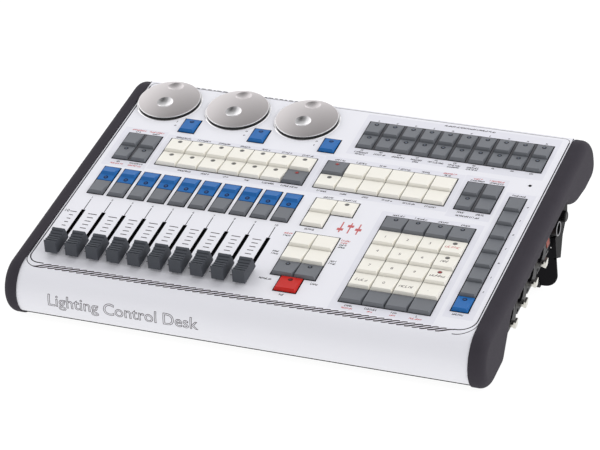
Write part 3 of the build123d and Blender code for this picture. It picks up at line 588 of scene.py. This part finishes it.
def make_wheels():
    """Ribbed grips, polished dimples and rims on the wheels, and a polished ring round each on the panel."""
    for number, (x, y) in enumerate(WHEEL_CENTRES, 1):
        body = f"wheel_{number}"
        dress(f"wheel_disc_{number}", SATIN)
        grip = Shape()
        grip.loft(grip_rings(x, y), loop=True)
        ribs = grip.make(f"wheel_ribs_{number}", body, [RIBBED], slot="wheel_rubber")
        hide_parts(f"wheel_grip_{number}")
        bowls = Shape()
        for dx, dy in DIMPLES:
            dimple(bowls, x, y, dx, dy)
        bowls.make(f"wheel_dimples_{number}", body, [POLISHED], smooth=30)
        base = Shape()
        base.lathe(BASE_SECTION, (x, y, 0))
        base.make(f"wheel_base_{number}", "case", [POLISHED], smooth=30)
        rim = Shape()
        rim.lathe(RIM_SECTION, (x, y, 0))
        rim.make(f"wheel_rim_{number}", body, [POLISHED], smooth=50)


# ---- printing on the panel ----
BORDER_OUTER = (193.1, -130.3, 12.0, 16.0)    # half width, front, radius of its left and right corner
BORDER_INNER = (191.3, -125.4, 10.0, 14.0)
BORDER_REAR = 136.6
REAR_CORNER = 5.0
BAND_END = 176.0
HATCH_PITCH = 6.4
HATCH_REACH = 14.5
HATCH_STEPS = 10
REAR_MARKS = (-150.0, -45.0)   # broken line along the rear edge, behind the wheels
BLACK, GREY, RED = 0, 1, 2
INKS = [INK_BLACK, INK_GREY, INK_RED]


def quarter(x, y, radius, first, steps=10):
    """Points of a quarter circle round (x, y)."""
    angles = [math.radians(first + 90 * i / steps) for i in range(steps + 1)]
    return [(x + radius * math.cos(turn), y + radius * math.sin(turn)) for turn in angles]


def side_line(shape, border, side, rear, width):
    """Line up one side of the panel, from the end of the hatched band round the front corner to the rear."""
    half, front, left_radius, right_radius = border
    radius = left_radius if side < 0 else right_radius
    corner = quarter(half - radius, front + radius, radius, 270)
    path = [(side * x, y) for x, y in [(BAND_END, front)] + corner + [(half, rear)]]
    shape.ribbon(path, [width] * len(path), BLACK)


def rear_line(shape):
    """Thin line along the rear, from one inner border over two rounded corners to the other."""
    half = BORDER_INNER[0] - REAR_CORNER
    y = BORDER_REAR - REAR_CORNER
    path = quarter(half, y, REAR_CORNER, 0) + [(-half, BORDER_REAR)] + quarter(-half, y, REAR_CORNER, 90)[1:]
    shape.ribbon(path, [0.4] * len(path), GREY)


def hatched_band(shape):
    """Slanting strokes between the two front lines, each thickest in its middle."""
    front, back = BORDER_OUTER[1] + 0.3, BORDER_INNER[1] - 0.3
    parts = [i / HATCH_STEPS for i in range(HATCH_STEPS + 1)]
    x = -BAND_END - HATCH_REACH / 2
    while x < BAND_END - HATCH_REACH / 2:
        path = [(x + HATCH_REACH * t, front + (back - front) * t * t * (3 - 2 * t)) for t in parts]
        shape.ribbon(path, [0.9 + 0.5 * math.sin(math.pi * t) for t in parts], GREY, 0.045)
        x += HATCH_PITCH


def rear_marks(shape):
    """Broken line along the panel's rear edge."""
    marks = random.Random(5)
    x, end = REAR_MARKS
    y = PANEL_DEPTH - 0.7
    while x < end:
        length = marks.uniform(1.5, 4.5)
        shape.stroke((x, y), (x + length, y), 0.8, BLACK)
        x += length + marks.uniform(1.0, 2.0)


def make_border():
    """Double line round the panel with its hatched band."""
    shape = Shape()
    for side in (-1, 1):
        side_line(shape, BORDER_OUTER, side, PANEL_DEPTH, 0.6)
        side_line(shape, BORDER_INNER, side, BORDER_REAR - REAR_CORNER, 0.95)
    rear_line(shape)
    hatched_band(shape)
    rear_marks(shape)
    shape.make("border_print", "case", INKS)


# ---- dark edges of the openings, with painted shade down their walls ----
INDICATOR = (177.4, 66.8, 1.1)     # x, y and radius of the window in the small hole
# sections of the linings of painted shade down the walls, with a black band on the panel round the rim,
# (distance outwards, z)
SHADE_LINING = [(-0.12, -2.0), (0.02, -2.0), (0.02, -0.02), (0.75, -0.02), (0.75, 0.03), (-0.12, 0.03)]
SLOT_SHADE_LINING = [(-0.3, -2.0), (0.02, -2.0), (0.02, -0.02), (0.15, -0.02), (0.15, 0.03), (-0.3, 0.03)]
SLOT_HALF = 1.55
SLOT_MARGIN = 4.0          # from a fader's lowest place to the front end of its slot
SEAL_GAP_HALF = 0.72       # two strips leave this much of a slot open on each side of its middle
BAR_HALF = 0.95            # bars between the columns of narrow keys
BAR_FOOT, BAR_TOP = -3.4, 0.1


def opening_paths():
    """Corners of each key opening, counter-clockwise."""
    for block, (x, y, columns, rows, pitch) in BLOCKS.items():
        x1 = x + pitch * (columns - 1) + key_place(block, (0, 0))[2]
        y0 = y - PITCH * rows
        if block == "step":
            yield [(x, y0), (x + PITCH, y0), (x + PITCH, y - PITCH), (x1, y - PITCH), (x1, y), (x, y)]
        else:
            yield [(x, y0), (x1, y0), (x1, y), (x, y)]


def slot_edges(shape):
    """Lining of painted shade down the walls of every fader slot, and the two sealing strips inside it."""
    for x in STRIP_X:
        y0, y1 = FADER_Y - SLOT_MARGIN, SLOT_TOP
        left, right = x - SLOT_HALF, x + SLOT_HALF
        shape.rim([(left, y0), (right, y0), (right, y1), (left, y1)], SLOT_SHADE_LINING)
        for side in (-1, 1):
            near, far = sorted((x + side * (SLOT_HALF - 0.05), x + side * SEAL_GAP_HALF))
            shape.box((near, y0 + 0.1, -0.7), (far, y1 - 0.1, -0.45))


def key_bars(shape, block):
    x, y, columns, rows, pitch = BLOCKS[block]
    for column in range(columns - 1):
        middle = x + pitch * (column + 0.5) + NARROW_WIDTH / 2
        low = (middle - BAR_HALF, y - PITCH * rows + 0.05, BAR_FOOT)
        shape.box(low, (middle + BAR_HALF, y - 0.05, BAR_TOP), 1)


def make_opening_edges():
    """Black lining of painted shade down the walls of every opening with its outline, and bars between the
    columns of narrow keys.
    """
    shape = Shape()
    for path in opening_paths():
        shape.rim(path, SHADE_LINING)
    slot_edges(shape)
    for block in ("page", "macro", "layer"):
        key_bars(shape, block)
    x, y, radius = INDICATOR
    shape.lathe([(0.02, -0.6), (radius, -0.6), (radius, 0.04), (0.02, 0.04)], (x, y, 0), 32)
    shape.make("opening_edges", "case", [BLACK_AND_SHADE, BAR_GREY])


# ---- words: (x of the middle, y of the base line, number of letters, ink) ----
def words_over(block, lengths, ink=BLACK, lift=2.0, row=None):
    """One word above (or, with a row given, below) each column of a block."""
    found = []
    for column, letters in enumerate(lengths):
        if letters:
            x, y, _ = key_place(block, (column, 0 if row is None else row))
            found.append((x, y + lift if row is None else y - PITCH - lift, letters, ink))
    return found


def legend_words():
    """Every word printed on the panel."""
    words = words_over("menu", (9, 8, 7, 6, 5, 6, 7))
    words += words_over("menu", (0, 8, 5, 3, 3, 7, 10), lift=4.4, row=1)
    words += words_over("select", (6, 6, 4, 7, 5, 4))
    words += words_over("select", (6, 4, 4, 6, 7, 7), lift=4.4, row=1)
    words += [(x + 1, y + 2.6, 8, RED) for x, y, _, _ in words_over("select", (0, 0, 0, 0, 0, 1))]
    words += words_over("macro", (1,) * 10, lift=1.6)
    words += words_over("macro", (2,) * 10, lift=3.6, row=1)
    words += words_over("macro", (8, 7, 8, 7, 9, 7, 7), lift=6.6, row=1)
    words += words_over("macro", (6, 0, 0, 4, 0, 7, 7), lift=9.4, row=1)
    words += [(104, 131.5, 30, GREY)]
    words += words_over("layer", (8, 8)) + words_over("layer", (5, 9), RED, lift=4.6)
    words += words_over("layer", (4, 5), lift=4.2, row=1) + [(141, 13.6, 14, BLACK)]
    words += words_over("page", (3, 4), lift=1.8) + words_over("page", (9, 9), RED, lift=4.4)
    words += words_over("page", (2, 8), lift=4.0, row=1) + words_over("page", (8, 8), RED, lift=7.0, row=1)
    words += words_over("soft", (8,)) + words_over("soft", (6,), lift=4.4, row=7)
    words += words_over("numeric", (7, 7, 6, 5)) + words_over("numeric", (4, 7, 3, 1), lift=4.4, row=5)
    words += words_over("numeric", (6, 3, 3, 7), RED, lift=7.4, row=5)
    words += words_over("step", (6, 8)) + words_over("step", (6,), lift=4.4, row=1)
    words += [(5.6, -41.0, 5, RED), (5.4, -44.2, 4, BLACK), (4.6, -66.0, 4, BLACK), (4.4, -69.0, 4, BLACK)]
    words += [(55.2, -40.0, 5, RED), (55.0, -43.0, 4, RED), (54.8, -46.0, 4, BLACK), (54.6, -49.0, 4, BLACK)]
    words += [(55.0, -68.0, 4, BLACK), (54.8, -71.0, 4, BLACK), (9.0, -101.5, 7, BLACK)]
    words += [(50.0, -99.5, 4, BLACK), (29.6, -118.2, 3, BLACK)]
    words += [(184.6, key_place("soft", (0, row))[1] - 11, 1, BLACK) for row in range(7)]
    for i in range(3):
        x, y, _ = key_place(f"wheel_{i}", (0, 0))
        words += [(x - 13.0, y - 6.5, 1, BLACK), (x - 13.0, y - 12.0, 1, GREY)]
    return words


LETTER_PITCH = 1.5
LETTER = (1.05, 1.4)       # width and height of a small letter
LETTER_SLANT = 0.3
LETTER_STROKE = 0.42
STROKES = {
    "left": ((0, 0), (0, 1)), "right": ((1, 0), (1, 1)), "tall": ((0, 0), (0, 1.5)),
    "top": ((0, 1), (1, 1)), "middle": ((0, 0.5), (1, 0.5)), "bottom": ((0, 0), (1, 0)),
}
MARKS = [("left", "top", "right"), ("left", "bottom", "top"), ("tall", "bottom"), ("left", "right", "bottom"),
         ("tall",), ("left", "middle", "top"), ("right", "middle", "bottom"), ("tall", "right", "middle")]


def write(shape, marks, middle, base, letters, ink, size=1.0, skin=wrapped):
    """Row of small marks where the desk carries a word; it spells nothing."""
    start = middle - LETTER_PITCH * size * letters / 2
    for i in range(letters):
        x0 = start + LETTER_PITCH * size * i
        for name in marks.choice(MARKS):
            ends = []
            for across, up in STROKES[name]:
                along = across * LETTER[0] + up * LETTER_SLANT
                ends.append((x0 + size * along, base + size * up * LETTER[1]))
            shape.stroke(*ends, LETTER_STROKE, ink, 0.04, skin)


def make_legends():
    """Rows of marks in place of the words on the panel."""
    marks = random.Random(11)
    shape = Shape()
    for middle, base, letters, ink in legend_words():
        write(shape, marks, middle, base, letters, ink)
    shape.make("legend_print", "case", INKS)


# ---- scales, digits and words in a plain font ----
TICK_PITCH = 4.86
FIRST_TICK = -54.4
LONG_TICK = (-12.4, -4.6)      # its ends, from the middle of the slot
SHORT_TICK = (-11.3, -5.9)
FIRST_SCALE_CUT = 2.0      # the scale beside the border is shorter
LEAD_END = -35.0           # the line from a slot stops short of the strip's number
STRIP_NUMBER_Y = -33.8


def font_curve(text, size):
    """Words in the plain built-in font, starting at the origin."""
    curve = bpy.data.curves.new("words", "FONT")
    curve.body = text
    curve.size = size
    return curve


def curve_mesh(curve):
    """Mesh made of a curve, which is used up."""
    holder = bpy.data.objects.new("words", curve)
    bpy.context.scene.collection.objects.link(holder)
    mesh = bpy.data.meshes.new_from_object(holder.evaluated_get(bpy.context.evaluated_depsgraph_get()))
    bpy.data.objects.remove(holder)
    bpy.data.curves.remove(curve)
    return mesh


def numeral(shape, text, place, size, slope=0.0, slot=BLACK):
    """Number standing at place, on a surface that slopes up towards the operator."""
    curve = font_curve(text, size)
    curve.extrude = 0.03
    mesh = curve_mesh(curve)
    tilt = Matrix.Rotation(-slope, 3, "X")
    points = [tuple(Vector(place) + tilt @ vertex.co) for vertex in mesh.vertices]
    shape.add(points, [list(polygon.vertices) for polygon in mesh.polygons], slot)
    bpy.data.meshes.remove(mesh)


def make_scales():
    """Scales beside the slots, and the line from each slot up to the number of its strip."""
    shape = Shape()
    for number, x in enumerate(STRIP_X, 1):
        for tick in range(11):
            y = FIRST_TICK - TICK_PITCH * tick
            left, right = LONG_TICK if tick % 5 == 0 else SHORT_TICK
            if number == 1:
                left += FIRST_SCALE_CUT
            shape.stroke((x + left, y), (x + right, y), 0.85, GREY)
        shape.stroke((x, SLOT_TOP + 0.3), (x, LEAD_END), 0.65, BLACK)
        numeral(shape, str(number), (x - 0.9 * len(str(number)), STRIP_NUMBER_Y, 0.03), 3.4)
    numeral(shape, "10", (STRIP_X[0] - 15.8, FIRST_TICK - 1.2, 0.03), 4.6)
    shape.make("scale_print", "case", INKS)


DIGITS = {
    (0, 1): "1", (1, 1): "2", (2, 1): "3", (0, 2): "4", (1, 2): "5", (2, 2): "6",
    (0, 3): "7", (1, 3): "8", (2, 3): "9", (1, 4): "0", (3, 4): ".",
}
# words on keys: cell, ink, number of letters
KEY_WORDS = [((3, 1), RED, 5), ((3, 2), GREY, 3), ((3, 3), GREY, 5), ((0, 4), GREY, 4), ((2, 4), GREY, 5)]
DIGIT_BACK = 11.0          # base line, from a key's rear edge
DIGIT_SIZE = 4.6


def key_top(rear):
    """Skin of the sloping tops in the row of keys whose rear edge is at y = rear."""
    def skin(x, y, lift):
        return (x, y, KEY_REAR + WEDGE_SLOPE * (rear - y - KEY_GAP / 2) + lift)
    return skin


def make_key_numbers():
    """Digits and word marks on the keypad."""
    shape = Shape()
    marks = random.Random(3)
    rise = KEY_REAR + WEDGE_SLOPE * (DIGIT_BACK - KEY_GAP / 2)
    for cell, text in DIGITS.items():
        x, y, _ = key_place("numeric", cell)
        numeral(shape, text, (x - 1.7, y - DIGIT_BACK, rise), DIGIT_SIZE, math.atan(WEDGE_SLOPE), GREY)
    for cell, ink, letters in KEY_WORDS:
        x, y, _ = key_place("numeric", cell)
        write(shape, marks, x, y - DIGIT_BACK - 0.6, letters, ink, 1.7, key_top(y))
    shape.make("key_numbers", "numeric_keys", INKS)


TITLE = "Lighting Control Desk"
TITLE_PLACE = (-166.0, -161.5)     # left end and base line, run out round the nose
TITLE_SIZE = 14.7
TITLE_FLATTENED = 0.3      # height of the tubes that draw the words, as a share of their width
LONGEST_CHORD = 1.2        # longer edges of the words are cut, to follow the rounded front
MARK_CENTRE = (52.4, -22.5)
MARK_PITCH = 7.5
MARK_HANDLES = (-3.0, 2.6, -0.6)   # heights of the three sliders' handles


def make_title():
    """Plain words in outline on the rounded front."""
    curve = font_curve(TITLE, TITLE_SIZE)
    curve.fill_mode = "NONE"
    curve.bevel_depth = 0.25
    curve.bevel_resolution = 0
    curve.resolution_u = 4
    mesh = curve_mesh(curve)
    work = bmesh.new()
    work.from_mesh(mesh)
    long_edges = [edge for edge in work.edges if edge.calc_length() > LONGEST_CHORD]
    bmesh.ops.subdivide_edges(work, edges=long_edges, cuts=7, use_grid_fill=True)
    work.to_mesh(mesh)
    work.free()
    left, base = TITLE_PLACE
    shape = Shape()
    points = [wrapped(left + v.co.x, base + v.co.y, v.co.z * TITLE_FLATTENED) for v in mesh.vertices]
    shape.add(points, [list(polygon.vertices) for polygon in mesh.polygons], GREY)
    shape.make("title_print", "case", INKS)
    bpy.data.meshes.remove(mesh)


def make_mark():
    """Three red sliders, where the desk carries a mark."""
    shape = Shape()
    x, y = MARK_CENTRE
    for i, height in enumerate(MARK_HANDLES):
        middle = x + MARK_PITCH * (i - 1)
        shape.stroke((middle, y - 7.0), (middle, y + 7.0), 1.1, RED)
        shape.stroke((middle, y + height - 1.5), (middle, y + height + 1.5), 5.2, RED, 0.07)
    shape.make("mark_print", "case", INKS)


# ---- fields round the key blocks: left, right, front, rear ----
ZONES = {
    "macro": (12.5, 185.0, 75.5, 133.8),
    "menu": (-146.0, -2.5, 16.5, 67.0),
    "select": (-2.0, 121.5, 16.5, 68.5),
    "layer": (122.0, 159.5, 11.5, 69.5),
    "soft": (162.0, 187.0, -112.5, 54.0),
    "numeric": (70.5, 158.5, -124.0, 6.0),
    "page": (-187.0, -147.0, 14.0, 69.5),
}


def make_zones():
    """Slightly greyer fields, each printed as a frame with the block's opening left free."""
    shape = Shape()
    for block, (left, right, front, rear) in ZONES.items():
        x, y, columns, rows, pitch = BLOCKS[block]
        width = pitch * (columns - 1) + key_place(block, (0, 0))[2]
        x0, x1, y0, y1 = x - 0.1, x + width + 0.1, y - PITCH * rows - 0.1, y + 0.1
        frames = [(left, right, y1, rear), (left, right, front, y0), (left, x0, y0, y1), (x1, right, y0, y1)]
        for a, b, c, d in frames:
            shape.ink([(a, c), (b, c), (b, d), (a, d)], 0.02)
    shape.make("zone_print", "case", [ZONE])


# ---- sides and front ----
INLET = (64.6, -38.5)      # y and z of the power inlet's middle
INLET_FACE = PANEL_HALF + 6.9
PIVOT = (79.0, -36.0)
KNOB_END = PANEL_HALF + 9.8    # outer face of a clamping knob
WEB_REACH = (0.3, 4.4)     # of the leg's webs, outwards from the panel's edge
WEB_FRONT, WEB_REAR = 62.6, 64.4
WEB_FOOT, WEB_TOP = -61.0, -47.7
# strip of painted shade under the rounded front, where the gap beneath lies in shadow
SHADE_STRIP_RADII = (22.2, 24.0)
SHADE_STRIP_ARC = (214, 226)       # degrees round the nose's centre, from straight back over the top
SIDE_MARKS = 58
SIDE_MARK_PITCH = 2.1


def ring_about_x(shape, x, y, z, radius, thickness):
    """Round ring whose axis runs across the desk."""
    rings = []
    for turn in turns(48):
        ring = []
        for part in turns(10):
            r = radius + thickness * math.cos(part)
            ring.append((x + thickness * math.sin(part), y + r * math.cos(turn), z + r * math.sin(turn)))
        rings.append(ring)
    shape.loft(rings, loop=True)


def make_leg_details():
    """Ring on each clamping knob, and a web between each arm and the leg's plate."""
    for side, name in ((-1, "left"), (1, "right")):
        ring = Shape()
        ring_about_x(ring, side * (KNOB_END - 0.1), *PIVOT, 3.4, 0.4)
        ring.make(f"knob_ring_{name}", f"leg_knob_{name}", [BLACK_PLASTIC], smooth=60)
        web = Shape()
        near, far = sorted(side * (PANEL_HALF + reach) for reach in WEB_REACH)
        web.box((near, WEB_FRONT, WEB_FOOT), (far, WEB_REAR, WEB_TOP))
        web.make(f"leg_web_{name}", "leg", [LEG])


def make_lip():
    """Black strip under the rounded front, painted shade of the gap beneath it."""
    (low, high), (first, last) = SHADE_STRIP_RADII, SHADE_STRIP_ARC
    section = []
    for radius, turn in ((low, first), (high, first), (high, last), (low, last)):
        angle = math.radians(turn)
        section.append((NOSE_Y + radius * math.cos(angle), radius * math.sin(angle) - NOSE_RADIUS))
    shade_strip = Shape()
    shade_strip.loft([[(x, y, z) for y, z in section] for x in (-PANEL_HALF + 0.5, PANEL_HALF - 0.5)])
    shade_strip.make("fascia_shade_strip", "case", [BLACK_AND_SHADE])


def make_side_marks():
    """Row of light slanting marks low on the right side plate."""
    marks = Shape()
    for i in range(SIDE_MARKS):
        y = -66.0 + SIDE_MARK_PITCH * i
        z = -50.0 - 9.0 * (y + 105.0) / 198.5 + 1.0
        outline = [(y, z), (y + 0.7, z), (y + 1.3, z + 1.1), (y + 0.6, z + 1.1)]
        marks.loft([[(x, a, b) for a, b in outline] for x in (PANEL_HALF - 0.02, PANEL_HALF + 0.06)])
    marks.make("side_marks", "case", [INK_SIDE])


def make_inlet_ring():
    chrome = Shape()
    ring_about_x(chrome, INLET_FACE, *INLET, 5.8, 0.55)
    chrome.make("inlet_ring", "case", [ZINC], smooth=60)


# ---- stage (metres) ----
LIGHT_TARGET = (0, 0, 0.05)


def make_camera():
    camera = bpy.data.objects.new("camera", bpy.data.cameras.new("camera"))
    camera.data.lens = 179.23
    camera.data.sensor_width = 36.0
    camera.data.clip_end = 100.0
    camera.location = (0.8442, -2.1293, 0.9968)
    camera.rotation_euler = (math.radians(67.72), 0.0, math.radians(21.71))
    bpy.context.scene.collection.objects.link(camera)
    bpy.context.scene.camera = camera


def make_floor():
    mesh = bpy.data.meshes.new("floor")
    mesh.from_pydata([(-9, -9, 0), (9, -9, 0), (9, 9, 0), (-9, 9, 0)], [], [(0, 1, 2, 3)])
    floor = bpy.data.objects.new("floor", mesh)
    white = surface("floor_white", (0.12, 0.12, 0.12, 1), 0.9, spread=0.0, bump=0, specular=0.1)
    mesh.materials.append(glowing(white, (1, 1, 1, 1), 0.95))
    bpy.context.scene.collection.objects.link(floor)


def area_light(name, place, size, power):
    """Rectangular light aimed at the desk, which leaves no image of itself in polished metal."""
    data = bpy.data.lights.new(name, "AREA")
    data.shape = "RECTANGLE"
    data.size, data.size_y = size
    data.energy = power
    light = bpy.data.objects.new(name, data)
    light.location = place
    light.rotation_euler = (Vector(LIGHT_TARGET) - Vector(place)).to_track_quat("-Z", "Y").to_euler()
    light.visible_glossy = False
    bpy.context.scene.collection.objects.link(light)


# strength of the studio's light by direction: from the operator's side (0) over the zenith to the rear (1)
STUDIO_DEPTH = ((0.0, 0.4), (0.25, 0.3), (0.45, 0.1), (0.58, 0.16), (0.72, 0.4), (0.88, 0.6), (0.98, 1.6))
# the same from the left (0) to the right (1), added to it
STUDIO_WIDTH = ((0.0, 1.9), (0.1, 1.2), (0.2, 0.75), (0.33, 0.22), (0.5, 0.0), (0.68, 0.3), (0.8, 1.1),
                (1.0, 1.3))
STUDIO_BRIGHTEST = 1.9


def studio_ramp(tree, direction, stops):
    """Grey level along one direction of the studio, as a share of the brightest."""
    part = tree.nodes.new("ShaderNodeMapRange")
    part.inputs["From Min"].default_value = -1.0
    tree.links.new(direction, part.inputs["Value"])
    ramp = tree.nodes.new("ShaderNodeValToRGB")
    ramp.color_ramp.interpolation = "EASE"
    held = ramp.color_ramp.elements
    while len(held) < len(stops):
        held.new(0.5)
    for stop, (position, level) in zip(held, stops):
        stop.position = position
        share = level / STUDIO_BRIGHTEST
        stop.color = (share * 0.98, share * 0.98, share, 1)
    tree.links.new(part.outputs["Result"], ramp.inputs["Fac"])
    return ramp.outputs["Color"]


def make_world():
    """Studio with a dark zenith, a bright rear wall and a softly lit side to the left and to the right."""
    world = bpy.data.worlds.new("studio")
    world.use_nodes = True
    tree = world.node_tree
    place = tree.nodes.new("ShaderNodeTexCoord")
    apart = tree.nodes.new("ShaderNodeSeparateXYZ")
    tree.links.new(place.outputs["Generated"], apart.inputs["Vector"])
    both = tree.nodes.new("ShaderNodeVectorMath")
    tree.links.new(studio_ramp(tree, apart.outputs["Y"], STUDIO_DEPTH), both.inputs[0])
    tree.links.new(studio_ramp(tree, apart.outputs["X"], STUDIO_WIDTH), both.inputs[1])
    background = tree.nodes["Background"]
    background.inputs["Strength"].default_value = STUDIO_BRIGHTEST
    tree.links.new(both.outputs["Vector"], background.inputs["Color"])
    bpy.context.scene.world = world


def make_light():
    make_world()
    area_light("left", (-1.4, 1.1, 1.6), (1.3, 1.3), 8.5)
    area_light("right", (1.6, 0.9, 1.3), (1.2, 1.2), 9)
    area_light("top", (0.1, 0.4, 2.0), (1.2, 0.8), 5)
    bpy.context.scene.view_settings.view_transform = "Standard"


make_camera()
make_floor()
make_light()
for node_name, node_material in NODE_MATERIALS.items():
    dress(node_name, node_material)
make_keys()
make_lamps()
make_fader_caps()
make_wheels()
make_zones()
make_opening_edges()
make_border()
make_legends()
make_scales()
make_key_numbers()
make_title()
make_mark()
make_inlet_ring()
make_leg_details()
make_lip()
make_side_marks()
